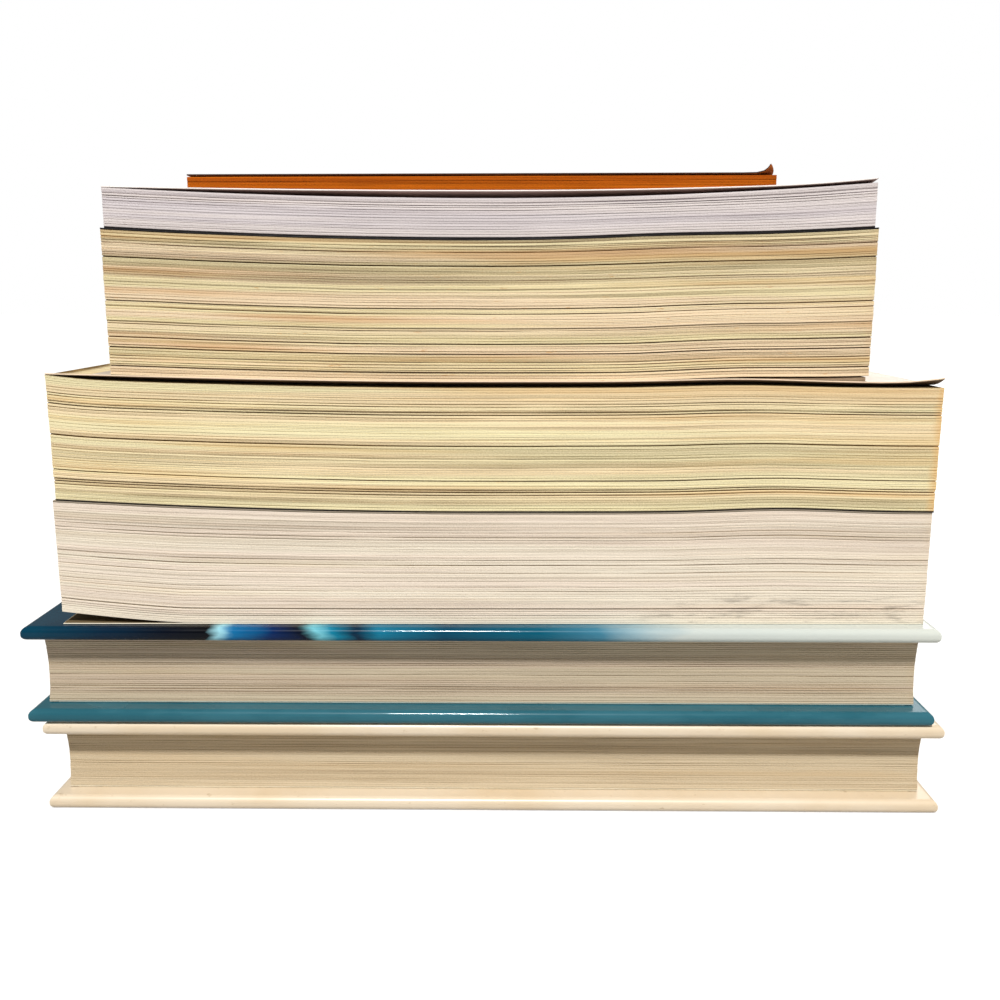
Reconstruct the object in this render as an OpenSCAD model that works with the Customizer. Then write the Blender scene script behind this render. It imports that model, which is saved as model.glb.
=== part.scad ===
// A stack of seven books with their fore edges to the front and their spines to the back.
// X runs along the books, Y from fore edge to spine, Z up. The origin is under the middle of the stack.

/* [Cream hardback] */
// Length of the boards, head to tail
cream_len = 216; // [180:1:260]
// Depth from the fore edge of the boards to the outside of the spine
cream_depth = 145; // [120:1:190]
// Thickness of the closed book
cream_thick = 22.6; // [18:0.1:40]
// Turn of the book on the stack, in degrees
cream_turn = -0.7; // [-3:0.1:3]

/* [Blue hardback] */
// Length of the boards, head to tail
blue_len = 216; // [180:1:260]
// Depth from the fore edge of the boards to the outside of the spine
blue_depth = 145; // [120:1:190]
// Thickness of the closed book
blue_thick = 24.1; // [18:0.1:40]
// Turn of the book on the stack, in degrees
blue_turn = -0.6; // [-3:0.1:3]

/* [White paperback] */
// Length of the book, head to tail
white_len = 204; // [170:1:240]
// Depth from fore edge to spine
white_depth = 133; // [110:1:170]
// Thickness of the closed book in its middle
white_thick = 27; // [12:0.1:40]
// How far the pages have curled up off the back cover at the tail
white_page_curl = 2.8; // [0:0.1:5]
// How far the top rides up at the tail
white_tail_rise = 3; // [0:0.1:5]

/* [Yellowed paperback] */
// Length of the book, head to tail
yellow_len = 203.6; // [170:0.1:240]
// Depth from fore edge to spine
yellow_depth = 133; // [110:1:170]
// Thickness of the closed book in its middle
yellow_thick = 29.2; // [12:0.1:40]
// How far the top rides up at the tail
yellow_tail_rise = 2.3; // [0:0.1:5]
// How far the front cover stands off the pages along the fore edge
yellow_cover_lift = 0.85; // [0:0.05:2]
// Extra lift of the front cover's corner at the head
yellow_corner_curl = 1.2; // [0:0.1:3]

/* [Thick pocket book] */
// Length of the book, head to tail
thick_len = 177.6; // [150:0.1:200]
// Depth from fore edge to spine
thick_depth = 108; // [90:1:130]
// Thickness of the closed book in its middle
thick_thick = 32.9; // [12:0.1:45]
// How far the pages have curled up off the back cover at the head
thick_page_curl = 1.4; // [0:0.1:3]
// How far the top rides up at each end
thick_end_rise = 2.5; // [0:0.1:5]

/* [Slim pocket book] */
// Length of the book, head to tail
slim_len = 176.8; // [150:0.1:200]
// Depth from fore edge to spine
slim_depth = 108; // [90:1:130]
// Thickness of the closed book in its middle
slim_thick = 9.35; // [5:0.05:20]
// How far the top rides up at the tail
slim_tail_rise = 2.4; // [0:0.1:5]
// How far the top rides up at the head
slim_head_rise = 3.4; // [0:0.1:5]
// How far the front cover stands off the sagging pages in the middle of the fore edge
slim_cover_lift = 1.45; // [0:0.05:3]
// Extra lift of the front cover's corner at the head
slim_corner_curl = 0.8; // [0:0.1:3]

/* [Booklet] */
// Length of the booklet, head to tail
booklet_len = 139.5; // [110:0.5:165]
// Depth from fore edge to spine
booklet_depth = 95; // [70:1:105]
// Thickness of the closed booklet
booklet_thick = 4.4; // [3:0.1:8]
// Height of the curled horn on its front cover
booklet_horn = 2.6; // [0:0.1:4]
// Gap under the loose front cover
booklet_gap = 0.3; // [0.2:0.05:0.6]

/* [Binding] */
// Thickness of a covered board
board_t = 3.4; // [3.2:0.1:5]
// Thickness of the printed wrap glued over the boards
wrap_t = 0.3; // [0.2:0.05:0.6]
// Radius on the edges of a covered board
board_edge_r = 1.5; // [0.5:0.1:1.5]
// How far the wrap is turned in over the inside of the boards
turn_in = 15; // [8:1:25]
// How far the boards stand past the pages at head and tail
board_square = 3.15; // [2:0.05:6]
// How far the boards stand past the pages at the fore edge
fore_square = 5; // [3:0.1:10]
// How far the spine is rounded outwards, and the fore edge hollowed
spine_round = 1.2; // [1:0.1:4]
// Width of the groove between board and spine
groove_w = 7; // [5:0.1:10]
// Thickness of the card in the spine
spine_board_t = 1.2; // [0.6:0.1:2]
// Hollow between the spine lining and the spine card
spine_hollow = 0.8; // [0.3:0.1:2]
// Thickness of the lining and of the bands' ribbons
lining_t = 0.3; // [0.2:0.05:0.6]
// Thickness of one leaf of endpaper
endpaper_t = 0.15; // [0.1:0.01:0.3]
// Thickness of a paperback's cover card
card_t = 0.3; // [0.2:0.05:0.5]
// Thickness of the glue on a paperback's spine
glue_t = 0.4; // [0.2:0.1:1]

/* [Stack] */
// Clearance between one book and the next
seat_gap = 0.05; // [0.03:0.01:0.1]
// Sideways shift of the two hardbacks, one to each side
hardback_shift = 1.5; // [0:0.1:5]
// Sideways place of the middle of the white paperback
white_x = 1.1; // [-5:0.1:5]
// Sideways place of the middle of the yellowed paperback
yellow_x = 1.6; // [-5:0.1:5]
// Sideways place of the middle of the thick pocket book
thick_x = 0.3; // [-5:0.1:5]
// Sideways place of the middle of the slim pocket book
slim_x = 0.3; // [-5:0.1:5]
// Sideways place of the middle of the booklet
booklet_x = -1.6; // [-5:0.1:5]
// How far the paperbacks' fore edges lie behind the blue hardback's
paperback_set_back = 3.5; // [0:0.1:15]
// How far the thick pocket book's fore edge lies behind the paperbacks'
thick_set_back = 8.5; // [5:0.1:20]
// How far the slim pocket book's fore edge lies behind the thick one's
slim_set_back = 1.5; // [0:0.1:5]
// How far the booklet's fore edge lies behind the slim pocket book's
booklet_set_back = 10; // [8:0.1:20]

/* [Hidden] */

arc_steps = 16;
edge_fn = 32;
spine_fn = 96;
bead_fn = 24;
cut = 1;
overlap = 0.01;
leaf_gap = 0.1;
pastedown_margin = 5.2;
ribbon_w = 8;
bead_r = 0.9;
bead_proud = 0.15;
glue_line = 0.04;
// Degrees by which the spine card and the lining stop short of the shoulders
spine_arc_short = 4;

// ---- Heights of the stack, one book on the next ----
cream_z = 0;
blue_z = cream_z + cream_thick + seat_gap;
white_z = blue_z + blue_thick + seat_gap;
yellow_z = white_z + white_thick + seat_gap;
thick_z = yellow_z + yellow_thick + seat_gap;
slim_z = thick_z + thick_thick + seat_gap;

// ---- Places of the fore edges ----
front_stagger = 0.5;
blue_y = -(max(cream_depth, blue_depth) + front_stagger) / 2;
cream_y = blue_y + front_stagger;
paperback_y = blue_y + paperback_set_back;
thick_y = paperback_y + thick_set_back;
slim_y = thick_y + slim_set_back;
booklet_y = slim_y + booklet_set_back;

// ---- How the soft books sag: the ends ride up, and a low hump runs across some of them ----
function swell(x, middle, width) = exp(-pow((x - middle) / width, 2));
function sag(x, len, tail, head) = (x < 0 ? tail : head) * pow(abs(x) * 2 / len, 2);
curl_power = 1.3;
function eased(t) = pow(min(max(t, 0), 1), curl_power);

white_hump = 0.85;
yellow_hump = 0.6;
thick_hump = 0.5;
hump_w = 18;
thick_hump_w = 20;
white_hump_x = white_len / 3;
yellow_hump_x = yellow_len * 0.28;
thick_hump_x = thick_len * 0.23;
white_top = function(x) white_z + white_thick
    + sag(x, white_len, white_tail_rise, 0) + white_hump * swell(x, white_hump_x, hump_w);
yellow_top = function(x) yellow_z + yellow_thick
    + sag(x, yellow_len, yellow_tail_rise, 0) + yellow_hump * swell(x, yellow_hump_x, hump_w);
thick_top = function(x) thick_z + thick_thick
    + sag(x, thick_len, thick_end_rise, thick_end_rise) + thick_hump * swell(x, thick_hump_x, thick_hump_w);
slim_top = function(x) slim_z + slim_thick + sag(x, slim_len, slim_tail_rise, slim_head_rise);

white_base = function(x) white_z;
yellow_base = function(x) white_top(x) + seat_gap;
thick_base = function(x) yellow_top(x) + seat_gap;
slim_base = function(x) thick_top(x) + seat_gap;

// Pages that have curled up off the back cover near one end
white_curl_w = 30;
thick_curl_w = 60;
white_page_lift = function(x)
    white_page_curl * eased((white_x - white_len / 2 + white_curl_w - x) / white_curl_w);
thick_page_lift = function(x)
    thick_page_curl * eased((x - (thick_x + thick_len / 2 - thick_curl_w)) / thick_curl_w);
no_lift = function(x) 0;

// ---- Stations along X, shared by all the soft books so that their faces match ----
station = 6;
least_step = 0.5;
function stations(middle, len) =
    let (x0 = middle - len / 2, x1 = middle + len / 2)
    concat(
        [x0],
        [for (i = [ceil((x0 + least_step) / station) : floor((x1 - least_step) / station)]) i * station],
        [x1]
    );

// A slab along Y whose lower and upper faces follow two curves over X
module slab(xs, lower, upper, y0, y1) {
    translate([0, y1, 0]) rotate([90, 0, 0]) linear_extrude(height = y1 - y0)
        polygon(concat(
            [for (x = xs) [x, lower(x)]],
            [for (i = [len(xs) - 1 : -1 : 0]) [xs[i], upper(xs[i])]]
        ));
}

// ---- A sheet with thickness, from two grids of points that face each other ----
function two(a, b, c, d) = [[a, b, c], [a, c, d]];
module sheet(outer, inner) {
    rows = len(outer) - 1;
    cols = len(outer[0]) - 1;
    size = (rows + 1) * (cols + 1);
    function id(i, j) = i * (cols + 1) + j;
    polyhedron(
        points = concat([for (r = outer) each r], [for (r = inner) each r]),
        faces = concat(
            [for (i = [0 : rows - 1], j = [0 : cols - 1])
                each two(id(i, j), id(i, j + 1), id(i + 1, j + 1), id(i + 1, j))],
            [for (i = [0 : rows - 1], j = [0 : cols - 1])
                each two(size + id(i, j), size + id(i + 1, j), size + id(i + 1, j + 1), size + id(i, j + 1))],
            [for (i = [0 : rows - 1])
                each two(id(i, 0), id(i + 1, 0), size + id(i + 1, 0), size + id(i, 0))],
            [for (i = [0 : rows - 1])
                each two(id(i + 1, cols), id(i, cols), size + id(i, cols), size + id(i + 1, cols))],
            [for (j = [0 : cols - 1])
                each two(id(0, j + 1), id(0, j), size + id(0, j), size + id(0, j + 1))],
            [for (j = [0 : cols - 1])
                each two(id(rows, j), id(rows, j + 1), size + id(rows, j + 1), size + id(rows, j))]
        )
    );
}

// ---- Paperbacks: pages, glue on the spine, and one folded card round all three sides ----
lift_stations = [0, 0.15, 0.35, 0.6, 1];
no_cover_lift = function(x, y) 0;

module paperback_pages(middle, length, y0, depth, base, top, page_lift) {
    slab(
        stations(middle, length),
        function(x) base(x) + card_t + page_lift(x),
        function(x) top(x) - card_t,
        y0, y0 + depth - card_t - glue_t
    );
}

module paperback_spine_glue(middle, length, y0, depth, base, top, page_lift) {
    y1 = y0 + depth - card_t;
    slab(
        stations(middle, length),
        function(x) base(x) + card_t + page_lift(x),
        function(x) top(x) - card_t,
        y1 - glue_t, y1
    );
}

module paperback_cover(middle, length, y0, depth, base, top, lift_w, cover_lift) {
    spine_y = y0 + depth - card_t;
    upper = concat([for (s = lift_stations) y0 + s * lift_w], [spine_y]);
    lower = [spine_y, y0];
    function past(y, t) = y == spine_y ? y + t : y;
    function row(x, t) = concat(
        [for (y = upper) [x, past(y, t), top(x) - card_t + cover_lift(x, y) + t]],
        [for (y = lower) [x, past(y, t), base(x) + card_t - t]]
    );
    xs = stations(middle, length);
    sheet([for (x = xs) row(x, card_t)], [for (x = xs) row(x, 0)]);
}

// Share of the lift that is left at depth y, from one at the fore edge to none where the next book presses
function fore_share(y, y0, width) = pow(min(max(1 - (y - y0) / width, 0), 1), 2);
function corner_share(x, corner, width) = pow(min(max(1 - (corner - x) / width, 0), 1), 2);

corner_w = 14;
press_margin = 0.5;
yellow_lift_w = thick_set_back - press_margin;
slim_lift_w = booklet_set_back - press_margin;
yellow_cover_lift_at = function(x, y) fore_share(y, paperback_y, yellow_lift_w)
    * (yellow_cover_lift + yellow_corner_curl * corner_share(x, yellow_x + yellow_len / 2, corner_w));
slim_cover_lift_at = function(x, y) fore_share(y, slim_y, slim_lift_w)
    * (slim_cover_lift * (1 - pow((x - slim_x) * 2 / slim_len, 2))
        + slim_corner_curl * corner_share(x, slim_x + slim_len / 2, 2 * corner_w));

module white_paperback_pages() {
    color("#e6dccf")
        paperback_pages(white_x, white_len, paperback_y, white_depth, white_base, white_top, white_page_lift);
}
module white_paperback_spine_glue() {
    color("#d8d0b8")
        paperback_spine_glue(white_x, white_len, paperback_y, white_depth, white_base, white_top,
            white_page_lift);
}
module white_paperback_cover() {
    color("#4a4438")
        paperback_cover(white_x, white_len, paperback_y, white_depth, white_base, white_top,
            yellow_lift_w, no_cover_lift);
}

module yellow_paperback_pages() {
    color("#e2d6a4")
        paperback_pages(yellow_x, yellow_len, paperback_y, yellow_depth, yellow_base, yellow_top, no_lift);
}
module yellow_paperback_spine_glue() {
    color("#d8d0b8")
        paperback_spine_glue(yellow_x, yellow_len, paperback_y, yellow_depth, yellow_base, yellow_top,
            no_lift);
}
module yellow_paperback_cover() {
    color("#d9c49a")
        paperback_cover(yellow_x, yellow_len, paperback_y, yellow_depth, yellow_base, yellow_top,
            yellow_lift_w, yellow_cover_lift_at);
}

module thick_pocket_book_pages() {
    color("#dcc090")
        paperback_pages(thick_x, thick_len, thick_y, thick_depth, thick_base, thick_top, thick_page_lift);
}
module thick_pocket_book_spine_glue() {
    color("#d8d0b8")
        paperback_spine_glue(thick_x, thick_len, thick_y, thick_depth, thick_base, thick_top,
            thick_page_lift);
}
module thick_pocket_book_cover() {
    color("#3a2a26")
        paperback_cover(thick_x, thick_len, thick_y, thick_depth, thick_base, thick_top,
            yellow_lift_w, no_cover_lift);
}

module slim_pocket_book_pages() {
    color("#d0c8cc")
        paperback_pages(slim_x, slim_len, slim_y, slim_depth, slim_base, slim_top, no_lift);
}
module slim_pocket_book_spine_glue() {
    color("#d8d0b8")
        paperback_spine_glue(slim_x, slim_len, slim_y, slim_depth, slim_base, slim_top, no_lift);
}
module slim_pocket_book_cover() {
    color("#efe9e2")
        paperback_cover(slim_x, slim_len, slim_y, slim_depth, slim_base, slim_top,
            slim_lift_w, slim_cover_lift_at);
}

// ---- Booklet: straight, resting on the raised ends of the slim pocket book ----
booklet_left = booklet_x - booklet_len / 2;
booklet_right = booklet_x + booklet_len / 2;
booklet_tilt = atan2(slim_top(booklet_right) - slim_top(booklet_left), booklet_len);
booklet_pages_h = booklet_thick - 2 * card_t - booklet_gap;
booklet_spine_y = booklet_depth - card_t;
booklet_hinge_z = card_t + booklet_pages_h;
horn_w = 5;
horn_steps = 4;
horn_power = 1.5;

// Local frame of the booklet: its tail end, fore edge and underside at zero
module on_booklet() {
    translate([booklet_left, booklet_y, slim_top(booklet_left) + seat_gap])
        rotate([0, -booklet_tilt, 0]) children();
}

module booklet_pages() {
    color("#b5651d") on_booklet()
        translate([0, 0, card_t])
            cube([booklet_len, booklet_spine_y - glue_t, booklet_pages_h]);
}
module booklet_spine_glue() {
    color("#d8d0b8") on_booklet()
        translate([0, booklet_spine_y - glue_t, card_t])
            cube([booklet_len, glue_t, booklet_pages_h]);
}
// The back of the cover card with its spine, up to the fold that the front turns on
module booklet_back_cover() {
    color("#33241c") on_booklet() union() {
        cube([booklet_len, booklet_depth, card_t]);
        translate([0, booklet_spine_y, 0]) cube([booklet_len, card_t, booklet_hinge_z]);
    }
}
// The loose front of the cover card, with one fore-edge corner curled up into a horn
module booklet_front_cover() {
    z0 = booklet_hinge_z + booklet_gap;
    y1 = booklet_depth - booklet_gap;
    steps = [for (k = [0 : horn_steps]) horn_w * k / horn_steps];
    xs = concat([0, booklet_len / 2], [for (k = [horn_steps : -1 : 0]) booklet_len - steps[k]]);
    ys = concat(steps, [y1]);
    function horn(x, y) = booklet_horn
        * pow(min(max(1 - (booklet_len - x + y) / horn_w, 0), 1), horn_power);
    function grid(t) = [for (x = xs) [for (y = ys) [x, y, z0 + horn(x, y) + t]]];
    color("#33241c") on_booklet() sheet(grid(card_t), grid(0));
}

// ---- Hardbacks: YZ sections, drawn with Y to the right and Z up, from the fore edge of the boards ----
function page_h(thick) = thick - 2 * board_t - 2 * (2 * endpaper_t + leaf_gap);
function round_r(thick) = pow(page_h(thick), 2) / (8 * spine_round) + spine_round / 2;
function page_back(depth) = depth - wrap_t - spine_board_t - spine_hollow - lining_t;
function arc_y(depth, thick) = page_back(depth) - round_r(thick);
function case_r(thick) = round_r(thick) + lining_t + spine_hollow + spine_board_t + wrap_t;
widest_case_angle = 55;
shoulder_play = 2;
function case_angle(thick) =
    min(widest_case_angle, asin(min(thick / 2 / case_r(thick), 1)) - shoulder_play);
function board_back(depth, thick) =
    arc_y(depth, thick) + case_r(thick) * cos(case_angle(thick)) - groove_w;

groove_floor = 1;
groove_dip = board_t - groove_floor;
hinge_points = 8;

// Extra of the wrap's upright thickness where the groove is steepest
steep_share = 0.4;

// Upper half of the case behind its boards, round to the middle of the spine, drawn in by an inset
function case_half(depth, thick, inset) =
    let (
        h = thick / 2,
        yb = board_back(depth, thick),
        a = case_angle(thick),
        cr = case_r(thick),
        ay = arc_y(depth, thick) + cr * cos(a),
        az = cr * sin(a),
        inner_a = a - inset / cr * 180 / PI
    )
    concat(
        [[yb - overlap - inset, 0], [yb - overlap - inset, h - inset]],
        [for (k = [0 : hinge_points - 1]) let (t = k / hinge_points)
            [yb + t * (ay - yb), (1 - t) * h + t * az - groove_dip * pow(sin(180 * t), 2)
                - inset * (1 + steep_share * pow(sin(360 * t), 2))]],
        [for (k = [0 : arc_steps]) let (b = inner_a * (1 - k / arc_steps))
            [arc_y(depth, thick) + (cr - inset) * cos(b), (cr - inset) * sin(b)]]
    );

module case_outline(depth, thick, inset) {
    for (side = [0, 1]) mirror([0, side])
        polygon(concat([[board_back(depth, thick) - overlap - inset, -overlap * side]],
            case_half(depth, thick, inset)));
}

// Stands a YZ section up along X, with the book's middle at height zero in the section
module along(length, thick) {
    translate([0, 0, thick / 2]) rotate([90, 0, 90])
        linear_extrude(height = length, center = true) children();
}

// A flat rectangle with round corners, in its middle
module rounded_plate(width, height, inset) {
    square([width - 2 * board_edge_r, height - 2 * inset], center = true);
    square([width - 2 * inset, height - 2 * board_edge_r], center = true);
    for (sx = [-1, 1], sy = [-1, 1])
        translate([sx * (width / 2 - board_edge_r), sy * (height / 2 - board_edge_r)])
            circle(r = board_edge_r - inset, $fn = edge_fn);
}

// Rounds the edges at head and tail of anything of one height, as a solid to keep within
module end_rounding(length, depth, height, inset) {
    translate([0, depth + cut, height / 2]) rotate([90, 0, 0])
        linear_extrude(height = depth + 2 * cut) rounded_plate(length, height, inset);
}

// The room of a covered board with its edges rounded, drawn in by an inset, as far back as asked
module board_room(length, depth, thick, side, inset, back) {
    reach = 2 * depth;
    translate([0, 0, side > 0 ? thick - board_t : 0]) intersection() {
        end_rounding(length, depth, board_t, inset);
        along(length, board_t) translate([reach / 2, 0]) rounded_plate(reach, board_t, inset);
        translate([-length, -cut, -cut]) cube([2 * length, back + cut, board_t + 2 * cut]);
    }
}

module hardback_pages(length, depth, thick) {
    h = page_h(thick);
    r = round_r(thick);
    shoulder = page_back(depth) - spine_round;
    along(length - 2 * board_square, thick)
        difference() {
            union() {
                translate([fore_square, -h / 2]) square([shoulder - fore_square, h]);
                intersection() {
                    translate([arc_y(depth, thick), 0]) circle(r = r, $fn = spine_fn);
                    translate([shoulder - cut, -h / 2]) square([spine_round + 2 * cut, h]);
                }
            }
            translate([fore_square + spine_round - r, 0]) circle(r = r, $fn = spine_fn);
        }
}

// Board inside its wrap, the upper one with side 1 and the lower one with side -1
module hardback_board(length, depth, thick, side) {
    board_room(length, depth, thick, side, wrap_t, board_back(depth, thick) - wrap_t);
}

module ring_sector(r0, r1, half_angle) {
    reach = 2 * r1;
    intersection() {
        difference() {
            circle(r = r1, $fn = spine_fn);
            circle(r = r0, $fn = spine_fn);
        }
        polygon([[0, 0], [reach * cos(half_angle), -reach * sin(half_angle)],
            [reach * cos(half_angle), reach * sin(half_angle)]]);
    }
}

module hardback_spine_board(length, depth, thick) {
    r = round_r(thick) + lining_t + spine_hollow;
    along(length - 2 * wrap_t, thick) translate([arc_y(depth, thick), 0])
        ring_sector(r, r + spine_board_t - glue_line, case_angle(thick) - spine_arc_short);
}

// The printed sheet round one board, turned in over its edges
module board_wrap(length, depth, thick, side) {
    yb = board_back(depth, thick);
    difference() {
        board_room(length, depth, thick, side, 0, yb);
        board_room(length, depth, thick, side, wrap_t, yb + cut);
        translate([-length / 2 + turn_in, turn_in, side > 0 ? thick - board_t - cut : board_t - 2 * wrap_t])
            cube([length - 2 * turn_in, depth, 2 * wrap_t + cut]);
    }
}

// The printed sheet: round both boards and the spine
module hardback_cover_wrap(length, depth, thick) {
    union() {
        for (side = [-1, 1]) board_wrap(length, depth, thick, side);
        intersection() {
            along(length, thick)
                difference() {
                    case_outline(depth, thick, 0);
                    case_outline(depth, thick, wrap_t);
                }
            end_rounding(length, depth, thick, 0);
        }
    }
}

// One folded leaf: half is glued down inside the board, half lies loose on the pages
module hardback_endpaper(length, depth, thick, side) {
    yb = board_back(depth, thick);
    fold_y = yb + pastedown_margin;
    page_len = length - 2 * board_square;
    window_y = turn_in;
    translate([0, 0, thick / 2]) mirror([0, 0, side > 0 ? 0 : 1])
        translate([0, 0, thick / 2 - board_t]) union() {
            translate([-length / 2 + pastedown_margin, pastedown_margin, -endpaper_t])
                cube([length - 2 * pastedown_margin, fold_y - pastedown_margin, endpaper_t]);
            translate([-length / 2 + turn_in, window_y, -endpaper_t])
                cube([length - 2 * turn_in, yb - wrap_t - window_y, endpaper_t + wrap_t]);
            translate([-page_len / 2, fore_square, -2 * endpaper_t - leaf_gap])
                cube([page_len, fold_y - fore_square, endpaper_t]);
            translate([-page_len / 2, fold_y - endpaper_t, -2 * endpaper_t - leaf_gap])
                cube([page_len, endpaper_t, 2 * endpaper_t + leaf_gap]);
        }
}

function lining_half(thick) = asin(min(page_h(thick) / 2 / round_r(thick), 1)) - spine_arc_short;

module hardback_spine_lining(length, depth, thick) {
    r = round_r(thick);
    along(length - 2 * board_square - 2 * ribbon_w - 2 * seat_gap, thick)
        translate([arc_y(depth, thick), 0])
            ring_sector(r + glue_line, r + lining_t, lining_half(thick));
}

// A sewn bead along the end of the spine, on a ribbon that is glued to the spine; end 1 is the head
module hardback_band(length, depth, thick, end) {
    r = round_r(thick);
    x_end = length / 2 - board_square;
    a = lining_half(thick);
    mirror([end > 0 ? 0 : 1, 0, 0]) union() {
        translate([x_end - ribbon_w / 2 + bead_r / 2, 0, 0])
            along(ribbon_w + bead_r, thick)
                translate([arc_y(depth, thick), 0]) ring_sector(r + glue_line, r + lining_t, a);
        translate([x_end + bead_r + glue_line, arc_y(depth, thick), thick / 2])
            rotate([0, 90, 0]) rotate([0, 0, 90 - a])
                rotate_extrude(angle = 2 * a, $fn = spine_fn)
                    translate([r + lining_t + bead_proud - bead_r, 0]) circle(r = bead_r, $fn = bead_fn);
    }
}

module on_cream() {
    translate([hardback_shift, cream_y + cream_depth / 2, cream_z])
        rotate([0, 0, cream_turn]) translate([0, -cream_depth / 2, 0]) children();
}
module on_blue() {
    translate([-hardback_shift, blue_y + blue_depth / 2, blue_z])
        rotate([0, 0, blue_turn]) translate([0, -blue_depth / 2, 0]) children();
}

module cream_hardback_pages() {
    color("#d6c0a0") on_cream() hardback_pages(cream_len, cream_depth, cream_thick);
}
module cream_hardback_front_board() {
    color("#b0a48c") on_cream() hardback_board(cream_len, cream_depth, cream_thick, 1);
}
module cream_hardback_back_board() {
    color("#b0a48c") on_cream() hardback_board(cream_len, cream_depth, cream_thick, -1);
}
module cream_hardback_spine_board() {
    color("#b0a48c") on_cream() hardback_spine_board(cream_len, cream_depth, cream_thick);
}
module cream_hardback_cover_wrap() {
    color("#e4cfae") on_cream() hardback_cover_wrap(cream_len, cream_depth, cream_thick);
}
module cream_hardback_front_endpaper() {
    color("#e8e0cc") on_cream() hardback_endpaper(cream_len, cream_depth, cream_thick, 1);
}
module cream_hardback_back_endpaper() {
    color("#e8e0cc") on_cream() hardback_endpaper(cream_len, cream_depth, cream_thick, -1);
}
module cream_hardback_headband() {
    color("#c8b48c") on_cream() hardback_band(cream_len, cream_depth, cream_thick, 1);
}
module cream_hardback_tailband() {
    color("#c8b48c") on_cream() hardback_band(cream_len, cream_depth, cream_thick, -1);
}
module cream_hardback_spine_lining() {
    color("#cfc6b0") on_cream() hardback_spine_lining(cream_len, cream_depth, cream_thick);
}

module blue_hardback_pages() {
    color("#d4c2a4") on_blue() hardback_pages(blue_len, blue_depth, blue_thick);
}
module blue_hardback_front_board() {
    color("#b0a48c") on_blue() hardback_board(blue_len, blue_depth, blue_thick, 1);
}
module blue_hardback_back_board() {
    color("#b0a48c") on_blue() hardback_board(blue_len, blue_depth, blue_thick, -1);
}
module blue_hardback_spine_board() {
    color("#b0a48c") on_blue() hardback_spine_board(blue_len, blue_depth, blue_thick);
}
module blue_hardback_cover_wrap() {
    color("#1f6f86") on_blue() hardback_cover_wrap(blue_len, blue_depth, blue_thick);
}
module blue_hardback_front_endpaper() {
    color("#c8d0c6") on_blue() hardback_endpaper(blue_len, blue_depth, blue_thick, 1);
}
module blue_hardback_back_endpaper() {
    color("#c8d0c6") on_blue() hardback_endpaper(blue_len, blue_depth, blue_thick, -1);
}
module blue_hardback_headband() {
    color("#e8e4da") on_blue() hardback_band(blue_len, blue_depth, blue_thick, 1);
}
module blue_hardback_tailband() {
    color("#e8e4da") on_blue() hardback_band(blue_len, blue_depth, blue_thick, -1);
}
module blue_hardback_spine_lining() {
    color("#cfc6b0") on_blue() hardback_spine_lining(blue_len, blue_depth, blue_thick);
}

cream_hardback_pages();
cream_hardback_front_board();
cream_hardback_back_board();
cream_hardback_spine_board();
cream_hardback_cover_wrap();
cream_hardback_front_endpaper();
cream_hardback_back_endpaper();
cream_hardback_headband();
cream_hardback_tailband();
cream_hardback_spine_lining();
blue_hardback_pages();
blue_hardback_front_board();
blue_hardback_back_board();
blue_hardback_spine_board();
blue_hardback_cover_wrap();
blue_hardback_front_endpaper();
blue_hardback_back_endpaper();
blue_hardback_headband();
blue_hardback_tailband();
blue_hardback_spine_lining();
white_paperback_pages();
white_paperback_cover();
white_paperback_spine_glue();
yellow_paperback_pages();
yellow_paperback_cover();
yellow_paperback_spine_glue();
thick_pocket_book_pages();
thick_pocket_book_cover();
thick_pocket_book_spine_glue();
slim_pocket_book_pages();
slim_pocket_book_cover();
slim_pocket_book_spine_glue();
booklet_pages();
booklet_back_cover();
booklet_front_cover();
booklet_spine_glue();
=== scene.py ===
# %% [markdown]
# # A stack of seven used books
#
# Two hardbacks lie at the bottom, then two large paperbacks, two pocket books and a thin booklet. All
# of them turn their fore edges to the front, so most of what is seen is cut paper. The sizes, places
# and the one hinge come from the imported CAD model. This script adds what that model leaves plain: the
# leaves, the curled covers, the print and the wear.

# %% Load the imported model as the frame
import math

import bpy
import numpy as np
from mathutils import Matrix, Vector
from mathutils.bvhtree import BVHTree


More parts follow.
